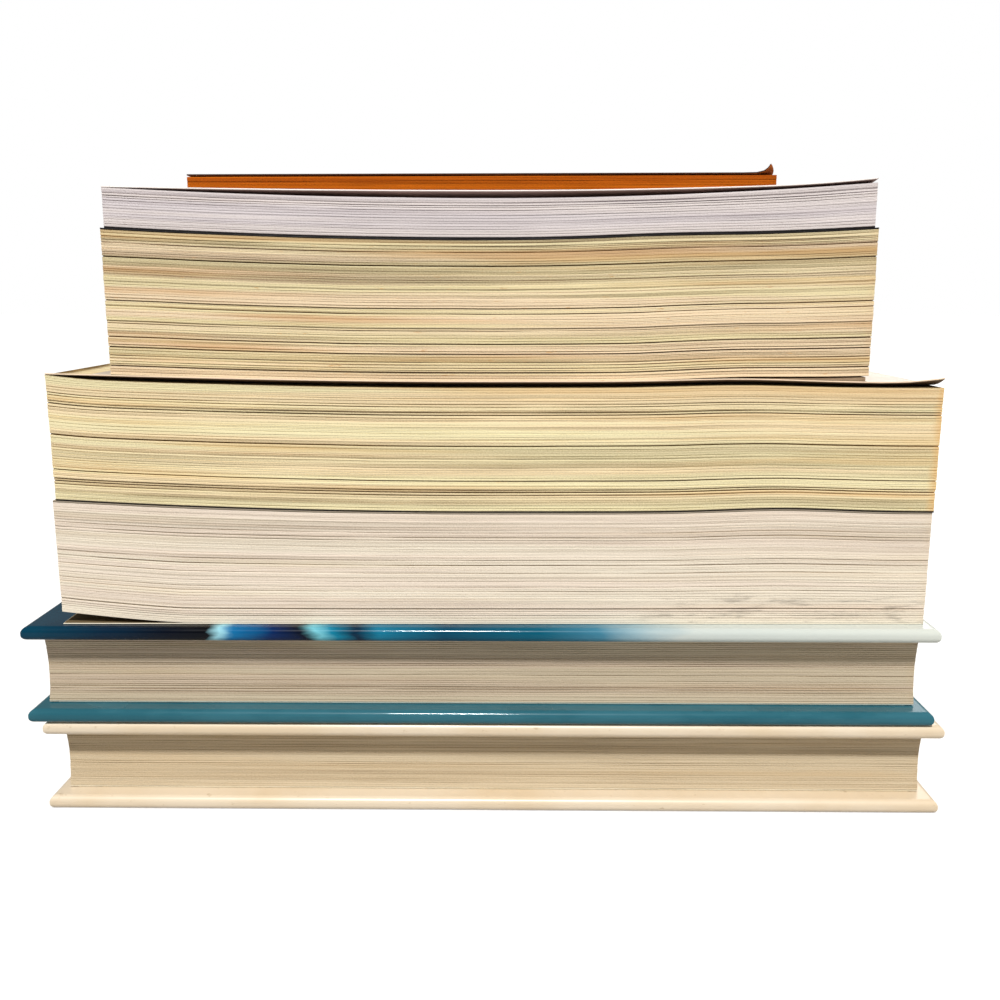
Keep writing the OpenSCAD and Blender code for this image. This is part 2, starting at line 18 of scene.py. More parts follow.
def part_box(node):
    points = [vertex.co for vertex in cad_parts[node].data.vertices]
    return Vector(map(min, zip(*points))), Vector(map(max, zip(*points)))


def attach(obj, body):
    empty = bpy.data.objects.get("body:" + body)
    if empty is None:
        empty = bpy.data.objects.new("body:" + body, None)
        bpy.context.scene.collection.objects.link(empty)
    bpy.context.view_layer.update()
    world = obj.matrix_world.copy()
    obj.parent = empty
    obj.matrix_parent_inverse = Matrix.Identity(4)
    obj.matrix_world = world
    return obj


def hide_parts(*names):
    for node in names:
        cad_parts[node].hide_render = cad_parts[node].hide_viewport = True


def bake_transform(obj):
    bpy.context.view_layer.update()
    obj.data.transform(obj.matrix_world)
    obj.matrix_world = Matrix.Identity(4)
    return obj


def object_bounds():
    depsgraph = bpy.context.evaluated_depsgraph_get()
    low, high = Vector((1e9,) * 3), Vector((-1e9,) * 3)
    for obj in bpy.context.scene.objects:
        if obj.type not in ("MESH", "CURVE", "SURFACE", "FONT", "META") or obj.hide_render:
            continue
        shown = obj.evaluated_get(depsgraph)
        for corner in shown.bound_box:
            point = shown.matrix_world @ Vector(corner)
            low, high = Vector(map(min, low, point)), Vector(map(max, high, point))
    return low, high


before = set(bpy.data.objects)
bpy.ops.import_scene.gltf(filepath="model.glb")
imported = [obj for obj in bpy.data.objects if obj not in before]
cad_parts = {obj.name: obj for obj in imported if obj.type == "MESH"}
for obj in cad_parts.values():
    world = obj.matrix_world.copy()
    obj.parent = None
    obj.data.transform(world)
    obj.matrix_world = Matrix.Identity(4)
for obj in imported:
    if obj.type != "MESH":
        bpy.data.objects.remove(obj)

MM = 0.001
scene = bpy.context.scene
cad_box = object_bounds()
print("CAD box in mm:", [[round(c / MM, 1) for c in corner] for corner in cad_box])

# %% [markdown]
# ## Helpers for materials
#
# A material here is a small tree of nodes, and most trees need the same few steps: a noise drawn out
# along the leaves, a value stretched between two limits, two colours mixed. Short helpers keep each
# tree readable. The groups further down are built with the same helpers.

# %% Adding nodes
def add(tree, kind, inputs=None, **settings):
    """Adds a node. Inputs are values, or sockets to link, by name or by number."""
    made = tree.nodes.new(kind)
    for name, value in settings.items():
        setattr(made, name, value)
    for key, value in (inputs or {}).items():
        if isinstance(value, bpy.types.NodeSocket):
            tree.links.new(value, made.inputs[key])
        else:
            made.inputs[key].default_value = value
    return made


# %% Colours and sums
def rgb(red, green, blue):
    """A colour given as it looks on a screen, from 0 to 255, as the light that the nodes work with."""
    def to_linear(level):
        share = level / 255
        return share / 12.92 if share <= 0.04045 else ((share + 0.055) / 1.055) ** 2.4
    return (to_linear(red), to_linear(green), to_linear(blue), 1)


def mixed(tree, factor, first, second, mode="MIX"):
    """Two colours mixed by a factor."""
    made = add(tree, "ShaderNodeMix", {0: factor, 6: first, 7: second}, data_type="RGBA",
               blend_type=mode)
    return made.outputs[2]


def between(tree, value, low, high, to_low=0.0, to_high=1.0):
    """A value stretched from one range to another, with a soft start and end."""
    made = add(
        tree, "ShaderNodeMapRange",
        {"Value": value, "From Min": low, "From Max": high, "To Min": to_low, "To Max": to_high},
        interpolation_type="SMOOTHSTEP",
    )
    return made.outputs[0]


def sums(tree, operation, first, second=0.0, clamp=False):
    """One sum with two values."""
    made = add(tree, "ShaderNodeMath", {0: first, 1: second}, operation=operation, use_clamp=clamp)
    return made.outputs[0]


def times(tree, first, second):
    """Two values multiplied."""
    return sums(tree, "MULTIPLY", first, second)


# %% Noise, and values of the mesh
def noise(tree, place, factors=(1, 1, 1), detail=2.0, roughness=0.5):
    """Soft noise, from 0 to 1 with most of it near one half. The factors multiply the coordinate, so
    they say how many soft spots there are in one unit of length, each way."""
    scaled = add(tree, "ShaderNodeVectorMath", {0: place, 1: factors}, operation="MULTIPLY")
    inputs = {"Vector": scaled.outputs[0], "Scale": 1, "Detail": detail, "Roughness": roughness}
    return add(tree, "ShaderNodeTexNoise", inputs).outputs["Fac"]


def own_value(tree, name):
    """A value that the mesh carries at its points."""
    return add(tree, "ShaderNodeAttribute", attribute_type="GEOMETRY", attribute_name=name).outputs["Fac"]


# %% Groups
def group(name, colours, values, outputs):
    """An empty node group with named sockets, and its own input and output sockets. Its inputs have no
    values of their own, because every use sets them all."""
    tree = bpy.data.node_groups.new(name, "ShaderNodeTree")
    sockets = [(label, "INPUT", "Color") for label in colours]
    sockets += [(label, "INPUT", "Float") for label in values]
    sockets += [(label, "OUTPUT", "Color" if label == "Colour" else "Float") for label in outputs]
    for label, way, kind in sockets:
        tree.interface.new_socket(label, in_out=way, socket_type="NodeSocket" + kind)
    return tree, add(tree, "NodeGroupInput").outputs, add(tree, "NodeGroupOutput").inputs


def placed(tree, made_group, **values):
    """A group put into a material. A name's underscores stand for the spaces in a socket's name."""
    inputs = {label.replace("_", " "): value for label, value in values.items()}
    return add(tree, "ShaderNodeGroup", inputs, node_tree=made_group).outputs


# %% Materials
def finish(name, **shader_values):
    """A material with a Principled shader; underscores stand for spaces in its sockets' names."""
    material = bpy.data.materials.new(name)
    material.use_nodes = True
    tree = material.node_tree
    tree.nodes.clear()
    shader = add(
        tree, "ShaderNodeBsdfPrincipled",
        {label.replace("_", " "): value for label, value in shader_values.items()},
    )
    add(tree, "ShaderNodeOutputMaterial", {"Surface": shader.outputs[0]})
    return material, tree, shader


def feed(tree, shader, **sockets):
    """Links sockets to the shader; underscores stand for spaces in its sockets' names."""
    for label, socket in sockets.items():
        tree.links.new(socket, shader.inputs[label.replace("_", " ")])


def bumped(tree, shader, height, strength, distance):
    """Sends a height to the shader's normal. The distance is in metres."""
    bump = add(tree, "ShaderNodeBump", {"Height": height, "Strength": strength, "Distance": distance})
    feed(tree, shader, Normal=bump.outputs[0])


# %% [markdown]
# ## Light, floor and camera
#
# Paper shows its edge only when light comes across it, so the main light stands high in front and is
# not too large: it throws the shadow of each board on the leaves below it. A pale world fills the
# shadows, and a pale floor carries the stack. The Standard view keeps paper colours as they are set.

# %% World and view
FILL_STRENGTH = 0.24
FILL_COLOUR = (1, 0.94, 0.85, 1)
BACKGROUND_STRENGTH = 1.0

scene.view_settings.view_transform = "Standard"
scene.world = bpy.data.worlds.new("studio")
scene.world.use_nodes = True
sky = scene.world.node_tree
sky.nodes.clear()
seen = add(sky, "ShaderNodeBackground", {"Color": (1, 1, 1, 1), "Strength": BACKGROUND_STRENGTH})
fill = add(sky, "ShaderNodeBackground", {"Color": FILL_COLOUR, "Strength": FILL_STRENGTH})
ray = add(sky, "ShaderNodeLightPath")
either = add(sky, "ShaderNodeMixShader",
             {0: ray.outputs["Is Camera Ray"], 1: fill.outputs[0], 2: seen.outputs[0]})
add(sky, "ShaderNodeOutputWorld", {"Surface": either.outputs[0]})


# %% Lamps
MAIN_HEIGHT = 52
MAIN_SIDE = 6
MAIN_SOFTNESS = 7
MAIN_STRENGTH = 3.5
MAIN_COLOUR = (1, 0.99, 0.975)
BACK_PLACE = (0.5, 1.1, 0.8)
BACK_STRENGTH = 7
BACK_SIZE = 0.8


def lamp(name, kind, place, target, strength, **settings):
    """A lamp at a place that looks at a point."""
    data = bpy.data.lights.new(name, kind)
    data.energy = strength
    for label, value in settings.items():
        setattr(data, label, value)
    made = bpy.data.objects.new(name, data)
    made.location = place
    made.rotation_euler = (Vector(target) - Vector(place)).to_track_quat("-Z", "Y").to_euler()
    scene.collection.objects.link(made)


stack_middle = (cad_box[0] + cad_box[1]) / 2
height, side = math.radians(MAIN_HEIGHT), math.radians(MAIN_SIDE)
toward_light = Vector((-math.sin(side) * math.cos(height), -math.cos(side) * math.cos(height),
                       math.sin(height)))
lamp("main light", "SUN", stack_middle + toward_light, stack_middle, MAIN_STRENGTH,
     angle=math.radians(MAIN_SOFTNESS), color=MAIN_COLOUR)
lamp("back light", "AREA", BACK_PLACE, stack_middle, BACK_STRENGTH, size=BACK_SIZE)

# %% Camera and floor
CAMERA_PLACE = (2.7 * MM, -301.25 * MM, 123.4 * MM)
CAMERA_PITCH = 11.34
CAMERA_LENS = 36.79
SENSOR_WIDTH = 36
NEAREST_SEEN = 10 * MM
FLOOR_SIZE = 12

camera = bpy.data.objects.new("camera", bpy.data.cameras.new("camera"))
camera.location = CAMERA_PLACE
camera.rotation_euler = (math.radians(90 - CAMERA_PITCH), 0, 0)
camera.data.lens = CAMERA_LENS
camera.data.sensor_width = SENSOR_WIDTH
camera.data.clip_start = NEAREST_SEEN
scene.collection.objects.link(camera)
scene.camera = camera

half = FLOOR_SIZE / 2
floor_mesh = bpy.data.meshes.new("floor")
floor_mesh.from_pydata(
    [(-half, -half, 0), (half, -half, 0), (half, half, 0), (-half, half, 0)], [], [(0, 1, 2, 3)]
)
floor = bpy.data.objects.new("floor", floor_mesh)
scene.collection.objects.link(floor)

# %% Floor material
# The floor glows a little, but only as the viewer sees it, so that it runs into the pale background.
FLOOR_LIFT = 0.52

floor_finish, tree, shader = finish("pale floor", Roughness=0.85)
ground = add(tree, "ShaderNodeTexCoord").outputs["Object"]
drift = noise(tree, ground, (3, 3, 3), detail=3)
seen_directly = add(tree, "ShaderNodeLightPath").outputs["Is Camera Ray"]
shader.inputs["Emission Color"].default_value = (1, 1, 1, 1)
feed(tree, shader, Base_Color=mixed(tree, drift, rgb(190, 190, 190), rgb(194, 194, 194)),
     Emission_Strength=times(tree, seen_directly, FLOOR_LIFT))
floor.data.materials.append(floor_finish)

# %% [markdown]
# ## Helpers for meshes
#
# The soft books sag, and each one follows the curve of the book below it. That curve is already in the
# CAD model, so a ray sent down or up on a CAD piece gives the height of its face at any point, and
# every mesh made here lies just where the CAD piece lies. Meshes are built from arrays of points,
# because rows of leaves are a regular grid that is easier to work out than to draw.

# %% Heights of a CAD piece
HAIR = 0.02 * MM
FAR = 1.0
surfaces = {}


def face_height(node, x, y, above=True):
    """Height of a CAD piece's upper face, or its lower one, over one point."""
    if node not in surfaces:
        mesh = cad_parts[node].data
        rays = BVHTree.FromPolygons([v.co for v in mesh.vertices], [p.vertices for p in mesh.polygons])
        surfaces[node] = (rays, *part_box(node))
    rays, low, high = surfaces[node]
    x = min(max(x, low.x + HAIR), high.x - HAIR)
    y = min(max(y, low.y + HAIR), high.y - HAIR)
    start, way = (FAR, -1) if above else (-FAR, 1)
    return rays.ray_cast(Vector((x, y, start)), Vector((0, 0, way)))[0].z


# %% Meshes from arrays
def mesh_piece(name, points, faces, values, corner_uv, uv_name="leaves", smooth=False):
    """An object from lists of points and faces, with values at its points and a UV map."""
    mesh = bpy.data.meshes.new(name)
    mesh.from_pydata(points, [], faces)
    for label, per_point in values.items():
        attribute = mesh.attributes.new(label, "FLOAT", "POINT")
        attribute.data.foreach_set("value", np.asarray(per_point, np.float32).ravel())
    layer = mesh.uv_layers.new(name=uv_name)
    layer.uv.foreach_set("vector", np.asarray(corner_uv, np.float32).ravel())
    mesh.polygons.foreach_set("use_smooth", [smooth] * len(mesh.polygons))
    mesh.update()
    piece = bpy.data.objects.new(name, mesh)
    scene.collection.objects.link(piece)
    return piece


def graded(length, first, growth, longest):
    """Steps from 0 to a length that start short and grow, for an edge that needs more points."""
    places = [0.0]
    step = first
    while places[-1] + step < length:
        places.append(places[-1] + step)
        step = min(step * growth, longest)
    if length - places[-1] < step / 2 and len(places) > 1:
        places.pop()
    return np.array(places + [length])


def both_ends(length, first, growth, longest):
    """The same, with short steps at both ends."""
    part = graded(length / 2, first, growth, longest)
    return np.concatenate([part, length - part[-2::-1]])


# %% Place a finished piece
def settle(piece, material, slot, *nodes):
    """Gives a piece its material, sets it on the stack and hides the CAD pieces it stands for."""
    piece.data.materials.append(material)
    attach(piece, "stack")
    if nodes:
        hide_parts(*nodes)


# %% [markdown]
# ## The leaves
#
# A book's leaves are one block, but its cut edge is never flat: small bundles of leaves stand proud or
# back by a tenth of a millimetre, and between them run fine dark gaps. A single box with a striped
# material looks painted as soon as the light moves, so each block is a mesh of many thin layers. Each
# layer has a flat edge and a narrow slit above it, and it wanders a little along the book. The block's
# own lower and upper faces come from the CAD piece, and the layers share out the height between them,
# so they fan out where the book curls. Each point also keeps its layer's tint and how deep its slit is,
# for the material, which paints the slits darker as shade on top of the shade their shape gets.

# %% Layers of a cut edge
CLUMP, CLUMP_SHARE = 4, 0.5
THICKNESS = (0.75, 1.3)
THIN_SLIT = 0.1
WIDE_SLIT = 0.22
SLIT_SHAPE, SLIT_SIZE = 2.2, 0.17
LEAST_SLIT = 0.08
PARTED_SLIT = 1.6
SHALLOW, DEEPER = 0.3, 2.2
TINT_SPREAD, TINT_CLUMP = 0.16, 0.2
FACE_GROOVE = 0.22


def cut_layers(rng, height, layer, uneven, parted, deep):
    """Rows of a cut edge from bottom to top, one row of numbers each: share of the height, how far it
    stands out, tint and strength of its slit. Lengths are in mm; deep lists the shares of the height
    where the block has parted along its whole length."""
    count = max(5, round(height / layer))
    thickness = rng.uniform(*THICKNESS, count)
    edges = np.concatenate([[0], np.cumsum(thickness)]) / thickness.sum()
    weight = np.clip(rng.gamma(SLIT_SHAPE, SLIT_SIZE, count + 1), LEAST_SLIT, 1)
    for share in deep:
        weight[np.argmin(abs(edges - share))] = PARTED_SLIT
    clump = np.repeat(rng.normal(0, 1, count // CLUMP + 1), CLUMP)[:count]
    out = uneven * (CLUMP_SHARE * clump + (1 - CLUMP_SHARE) * rng.normal(0, 1, count))
    tint = np.clip(0.5 + TINT_SPREAD * rng.normal(0, 1, count) + TINT_CLUMP * clump, 0, 1)
    # The lowest and highest rows sit back and count as full slits, so the material paints a dark line of
    # shade along the block's lower and upper faces.
    rows = [(0, out[0] - FACE_GROOVE, tint[0], 1)]
    for k in range(count):
        thick = edges[k + 1] - edges[k]
        below = (THIN_SLIT + WIDE_SLIT * min(weight[k], 1)) * thick
        above = (THIN_SLIT + WIDE_SLIT * min(weight[k + 1], 1)) * thick
        rows.append((edges[k] + below, out[k], tint[k], 0))
        rows.append((edges[k + 1] - above, out[k], tint[k], 0))
        if k < count - 1:
            depth = parted * (SHALLOW + DEEPER * weight[k + 1])
            rows.append((edges[k + 1], min(out[k], out[k + 1]) - depth, (tint[k] + tint[k + 1]) / 2,
                         weight[k + 1]))
    rows.append((1, out[-1] - FACE_GROOVE, tint[-1], 1))
    return np.array(rows)


# %% Points round a block, and waves along it
COLUMN = 3.6
WAVES = ((71.0, 0.5), (33.0, 0.3), (17.0, 0.2))


def ring(nx, ny):
    """Shares along X and Y of the points round a block, from the tail's front corner and on."""
    front = [(i / nx, 0) for i in range(nx)]
    head = [(1, j / ny) for j in range(ny)]
    back = [(1 - i / nx, 1) for i in range(nx)]
    tail = [(0, 1 - j / ny) for j in range(ny)]
    return np.array(front + head + back + tail)


def wandering(rng, along, rows, drift):
    """Slow waves along the block for each row, that change little from one row to the next."""
    total = np.zeros((rows, len(along)))
    for length, share in WAVES:
        phase = rng.uniform(0, 2 * math.pi) + np.cumsum(rng.normal(0, drift, rows))
        total += share * np.sin(2 * math.pi * along[None, :] / length + phase[:, None])
    return total


# %% Faces of a block
CAP_TINT = 0.6


def side_faces(row_count, ring_size, u, v):
    """Faces between the rows, all round a block, and their corners on its flat map."""
    r = np.arange(row_count - 1)[:, None]
    c = np.arange(ring_size)[None, :]
    n = (c + 1) % ring_size
    faces = np.stack([r * ring_size + c, r * ring_size + n, (r + 1) * ring_size + n,
                      (r + 1) * ring_size + c], -1)
    corners = ((c, r), (c + 1, r), (c + 1, r + 1), (c, r + 1))
    flat = np.stack([np.stack(np.broadcast_arrays(u[i], v[j]), -1) for i, j in corners], 2)
    return faces.reshape(-1, 4).tolist(), flat.reshape(-1, 2).tolist()


def cap_grid(flat_points, faces, corner_uv, values, edge, start, nx, ny, is_top):
    """Closes a block's top or bottom with a grid whose lines end on the points of its edge."""
    ids = {(round(a * nx), round(b * ny)): start + k for k, (a, b) in enumerate(ring(nx, ny))}
    for i in range(1, nx):
        for j in range(1, ny):
            front_point, back_point = edge[ids[i, 0] - start], edge[ids[i, ny] - start]
            ids[i, j] = len(flat_points)
            flat_points.append((front_point + (back_point - front_point) * j / ny).tolist())
            for label, value in (("tint", CAP_TINT), ("slit", 0), ("corner", 0)):
                values[label].append(value)
    for i in range(nx):
        for j in range(ny):
            corners = [(i, j), (i + 1, j), (i + 1, j + 1), (i, j + 1)]
            if not is_top:
                corners.reverse()
            faces.append([ids[c] for c in corners])
            corner_uv.extend([(c[0] * COLUMN, c[1] * COLUMN * 0.5) for c in corners])


# %% Block of leaves
END_SHARE = 0.18
BREATH, BREATH_SPREAD, LEAST_BREATH = 0.85, 0.4, 0.4
BREATH_DRIFT, STAND_DRIFT, LIFT_DRIFT = 0.9, 0.5, 0.04


def leaf_block(name, seed, x0, x1, lower, upper, front, back, layer, uneven, parted, waviness,
               deep=()):
    """The block as a mesh. Lower and upper give heights over x, and front and back give the fore edge
    and the spine over the share of the height; all in metres. The other lengths are in mm."""
    rng = np.random.default_rng(seed)
    length = (x1 - x0) / MM
    depth = (back(0.5) - front(0.5)) / MM
    height = (upper((x0 + x1) / 2) - lower((x0 + x1) / 2)) / MM
    rows = cut_layers(rng, height, layer, uneven, parted, deep)
    nx = round(length / COLUMN)
    ny = round(depth / COLUMN)
    a, b = ring(nx, ny).T
    along = np.cumsum(np.concatenate([[0], np.hypot(np.diff(a) * length, np.diff(b) * depth)]))
    share, out, tint, slit = rows.T

    x = x0 + a * (x1 - x0)
    low = np.array([lower(v) for v in x])
    high = np.array([upper(v) for v in x])
    fronts = np.array([front(v) for v in share])
    backs = np.array([back(v) for v in share])
    breathing = BREATH + BREATH_SPREAD * wandering(rng, along, len(rows), BREATH_DRIFT)
    breathing = np.clip(breathing, LEAST_BREATH, 1)
    breathing[slit > 1] = 1
    stand = out[:, None] + uneven * wandering(rng, along, len(rows), STAND_DRIFT)
    stand = np.where(slit[:, None] > 0, out[:, None] * breathing, stand)
    middle_most = 4 * share[:, None] * (1 - share[:, None])
    lift = waviness * middle_most * wandering(rng, along, len(rows), LIFT_DRIFT)

    side_x = np.where(a == 0, -1, 0) + np.where(a == 1, 1, 0)
    side_y = np.where(b == 0, -1, 0)
    points = np.empty((len(rows), len(a), 3))
    points[..., 0] = x[None, :] + END_SHARE * stand * MM * side_x[None, :]
    points[..., 1] = fronts[:, None] + b[None, :] * (backs - fronts)[:, None]
    points[..., 1] += stand * MM * side_y[None, :]
    points[..., 2] = low[None, :] + share[:, None] * (high - low)[None, :] + lift * MM

    ring_size = len(a)
    open_slit = np.minimum(slit[:, None] * breathing, 1)
    is_corner = ((a == 1) & (b == 0)).astype(float)
    values = {"tint": np.repeat(tint, ring_size).tolist(), "slit": open_slit.ravel().tolist(),
              "corner": np.tile(is_corner, len(rows)).tolist()}
    flat_points = points.reshape(-1, 3).tolist()
    faces, corner_uv = side_faces(len(rows), ring_size, np.append(along, along[-1] + COLUMN),
                                  share * height)
    for row, is_top in ((0, False), (len(rows) - 1, True)):
        cap_grid(flat_points, faces, corner_uv, values, points[row], row * ring_size, nx, ny, is_top)
    piece = mesh_piece(name, flat_points, faces, values, corner_uv)
    print(f"{name}: {len(rows)} rows of {ring_size} points, {2 * len(faces)} triangles")
    return piece


# %% [markdown]
# ## The look of cut paper
#
# All the blocks use one node group, with their own colours and strengths. It works on the map that
# each block carries, which gives the way along the edge and the height in the block in millimetres, so
# its lines follow the leaves through every sag. Long thin noise makes the lines, the layers' own tint
# makes some bundles darker, the slits get the darkest colour as painted shade on top of the shade their
# shape gets, and broad soft noise adds the browning that paper gets where air and hands reach it.

# %% Group for cut leaves
LINE_WANDER = 0.0015
PAPER_COLOURS = ("Paper", "Other Paper", "Line", "Stain")
STRENGTHS = ("Line Strength", "Tint Strength", "Slit Strength", "Stain Strength", "Spots",
             "Corner Strength", "Lines per mm")

leaf_look, given, out = group("cut leaves", PAPER_COLOURS, STRENGTHS, ("Colour", "Height"))
g = leaf_look
leaf_map = add(g, "ShaderNodeUVMap", uv_map="leaves").outputs[0]
split = add(g, "ShaderNodeSeparateXYZ", {0: leaf_map})
line_place = add(g, "ShaderNodeCombineXYZ", {
    0: times(g, split.outputs[0], LINE_WANDER),
    1: times(g, split.outputs[1], given["Lines per mm"]),
})
lines = noise(g, line_place.outputs[0], detail=3, roughness=0.7)
fine = noise(g, leaf_map, (0.006, 4.2, 1), detail=3, roughness=0.75)
tooth = noise(g, leaf_map, (3.0, 5.0, 1), detail=2, roughness=0.7)
broad = noise(g, leaf_map, (0.006, 0.2, 1), detail=3, roughness=0.55)
hue = noise(g, leaf_map, (0.003, 0.3, 7), detail=2)
patch = noise(g, leaf_map, (0.006, 0.4, 1), detail=2)
spots = noise(g, leaf_map, (0.16, 0.9, 1), detail=3, roughness=0.7)
tint = own_value(g, "tint")
slit = own_value(g, "slit")
corner = own_value(g, "corner")

# How dark each point is: the darkest of line, tint and the painted shade in the slits, with a fine tooth
# over it.
line_mask = times(g, between(g, lines, 0.52, 0.64), given["Line Strength"])
tint_mask = times(g, between(g, tint, 0.6, 0.15), between(g, patch, 0.35, 0.6, 0.3, 1.0))
tint_mask = times(g, tint_mask, given["Tint Strength"])
slit_shade_mask = times(g, between(g, slit, 0.0, 0.7), given["Slit Strength"])
dark = sums(g, "MAXIMUM", sums(g, "MAXIMUM", line_mask, tint_mask), slit_shade_mask)
dark = sums(g, "ADD", dark, between(g, fine, 0.38, 0.64, -0.16, 0.28))
dark = sums(g, "ADD", dark, between(g, tooth, 0.35, 0.7, -0.1, 0.16), clamp=True)
toned = mixed(g, between(g, hue, 0.42, 0.58), given["Paper"], given["Other Paper"])
paper = mixed(g, dark, toned, given["Line"])

# Where the paper is stained: broad bands, small spots and the corner that hands have held.
stain_mask = times(g, between(g, broad, 0.48, 0.66), given["Stain Strength"])
spot_mask = times(g, between(g, spots, 0.64, 0.74), given["Spots"])
aged = times(g, between(g, corner, 0.25, 1.0), between(g, fine, 0.3, 0.6, 0.5, 1.0))
aged = times(g, aged, given["Corner Strength"])
stain_mask = sums(g, "MAXIMUM", sums(g, "MAXIMUM", stain_mask, spot_mask), aged)
g.links.new(mixed(g, stain_mask, paper, given["Stain"]), out["Colour"])
g.links.new(sums(g, "ADD", times(g, fine, 0.7), times(g, tooth, 0.3)), out["Height"])


# %% [markdown]
# ## One material for each block
#
# Every block gets its own colours and strengths. One block has dirty smudges low down near its head as
# well. They are blotchy noise that is let through only past one place along the edge and below one
# height, so they need no mesh of their own.

# %% Material for one block
SMUDGE_FADE = 20
SMUDGE_STRENGTH = 0.4
SMUDGE_COLOUR = rgb(92, 84, 74)


def smudges(tree, start, reach):
    """A mask for dirt that starts so far along the edge and reaches so high, in mm."""
    edge_map = add(tree, "ShaderNodeUVMap", uv_map="leaves").outputs[0]
    place = add(tree, "ShaderNodeSeparateXYZ", {0: edge_map})
    dirt = between(tree, noise(tree, edge_map, (0.09, 0.8, 1), detail=5, roughness=0.7), 0.5, 0.66)
    where = times(tree, between(tree, place.outputs[0], start, start + SMUDGE_FADE),
                  between(tree, place.outputs[1], reach, reach / 2))
    return times(tree, dirt, times(tree, where, SMUDGE_STRENGTH))


# %% Papers
# Each book's colours in the order of PAPER_COLOURS, then its values in the order of STRENGTHS.
PAPERS = {
    "white_paperback": ((236, 226, 208), (234, 220, 204), (148, 130, 108), (212, 190, 156),
                        0.5, 0.3, 0.9, 0.25, 0.1, 0.2, 2.2),
    "yellow_paperback": ((242, 231, 188), (242, 222, 182), (102, 76, 32), (220, 178, 116),
                         0.55, 0.4, 0.95, 0.45, 0.25, 0.8, 2.0),
    "thick_pocket_book": ((240, 219, 186), (234, 221, 178), (88, 54, 18), (202, 154, 96),
                          0.6, 0.45, 1.0, 0.55, 0.75, 0.15, 2.0),
    # The last leaves' darker grey-brown paper is painted shade: they lie in shadow under the lifted
    # leaves.
    "thick_pocket_book_last_shaded": ((176, 154, 128), (164, 142, 120), (84, 62, 44), (130, 104, 78),
                               0.6, 0.5, 1.0, 0.4, 0.2, 0.3, 1.6),
    "slim_pocket_book": ((230, 221, 218), (222, 214, 216), (116, 104, 108), (206, 192, 188),
                         0.6, 0.3, 0.95, 0.2, 0.05, 0.1, 2.2),
    "booklet": ((200, 104, 14), (184, 88, 6), (86, 34, 0), (140, 66, 6),
                0.6, 0.4, 0.95, 0.4, 0.2, 0.3, 2.2),
    "cream_hardback": ((204, 188, 160), (202, 184, 154), (110, 84, 46), (196, 164, 118),
                       0.3, 0.2, 0.6, 0.2, 0.05, 0.15, 2.4),
    "blue_hardback": ((196, 182, 158), (196, 179, 158), (106, 84, 54), (190, 162, 120),
                      0.35, 0.25, 0.65, 0.2, 0.05, 0.15, 2.3),
}


def leaf_material(book, smudged=None):
    """Cut paper for one book. Smudged gives where dirty smudges start along the edge, and how high
    they reach, in mm."""
    material, tree, shader = finish("leaves of the " + book, Roughness=0.92, Specular_IOR_Level=0.15)
    count = len(PAPER_COLOURS)
    colours = [rgb(*colour) for colour in PAPERS[book][:count]]
    values = zip(PAPER_COLOURS + STRENGTHS, (*colours, *PAPERS[book][count:]))
    look = placed(tree, leaf_look, **dict(values))
    colour = look["Colour"]
    if smudged:
        colour = mixed(tree, smudges(tree, *smudged), colour, SMUDGE_COLOUR)
    feed(tree, shader, Base_Color=colour)
    bumped(tree, shader, look["Height"], 0.5, 0.12 * MM)
    return material


# %% [markdown]
# ## Blocks of the four paperbacks and the booklet
#
# Each paperback's block stands between its covers' inner faces, flush with them at the fore edge. The
# older and cheaper the paper, the more uneven its edge: the thick pocket book has a rough edge with
# strong brown lines, while the slim one's pale leaves are cut clean.

# %% A paperback's block
CURL_LENGTH = 16 * MM


def soft_block(book, seed, slot, tail_curl=0.0, smudged=None, **cut):
    """A paperback's leaves, between the faces of their CAD piece. Tail curl is how far the top leaves
    have curled up at the tail, towards the lifted cover."""
    node = book + "_pages"
    low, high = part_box(node)
    middle = (low.y + high.y) / 2
    piece = leaf_block(
        book + "_leaves", seed, low.x, high.x,
        lambda x: face_height(node, x, middle, above=False),
        lambda x: face_height(node, x, middle) + tail_curl * max(1 - (x - low.x) / CURL_LENGTH, 0) ** 2,
        lambda share: low.y, lambda share: high.y, **cut,
    )
    settle(piece, leaf_material(book, smudged), slot, node)


# %% Make the three large blocks
soft_block("white_paperback", 11, "white_pages", smudged=(128, 9), layer=0.6, uneven=0.05, parted=0.1,
           waviness=0.05, deep=(0.12,))
soft_block("yellow_paperback", 12, "yellow_pages", tail_curl=0.75 * MM, layer=0.66, uneven=0.06,
           parted=0.13, waviness=0.06, deep=(0.16, 0.245, 0.53, 0.77))
soft_block("thick_pocket_book", 13, "brown_pages", layer=0.62, uneven=0.07, parted=0.15, waviness=0.08,
           deep=(0.056, 0.206, 0.26, 0.517, 0.824))

# %% [markdown]
# ## The thick pocket book's last leaves
#
# Near its head the thick pocket book has lifted off its own back cover, and only a few last leaves have
# stayed down on the card. The gap is in the CAD model, under the block's lower face, so the few leaves
# are a second, very thin block: its floor is the card's inner face, and its top stays a hair below the
# lifted leaves. Their paper is set darker and greyer than the rest of the book's, as painted shade for
# the shadow they lie in under the lifted leaves.

# %% Make the last leaves
LAST_LEAVES_LENGTH = 46 * MM
LAST_LEAVES_END = 0.6 * MM
LAST_LEAVES_GAP = 0.3 * MM
LAST_LEAVES_BACK = 0.35 * MM
THINNEST = 0.03 * MM
CARD = 0.3 * MM
low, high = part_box("thick_pocket_book_pages")
mid_y = (low.y + high.y) / 2


def thick_floor(x):
    """The inner face of the thick pocket book's back cover."""
    return face_height("thick_pocket_book_cover", x, mid_y, above=False) + CARD


def last_leaves_top(x):
    """Just under the lifted leaves."""
    room = face_height("thick_pocket_book_pages", x, mid_y, above=False) - thick_floor(x)
    return thick_floor(x) + max(room - LAST_LEAVES_GAP, THINNEST)


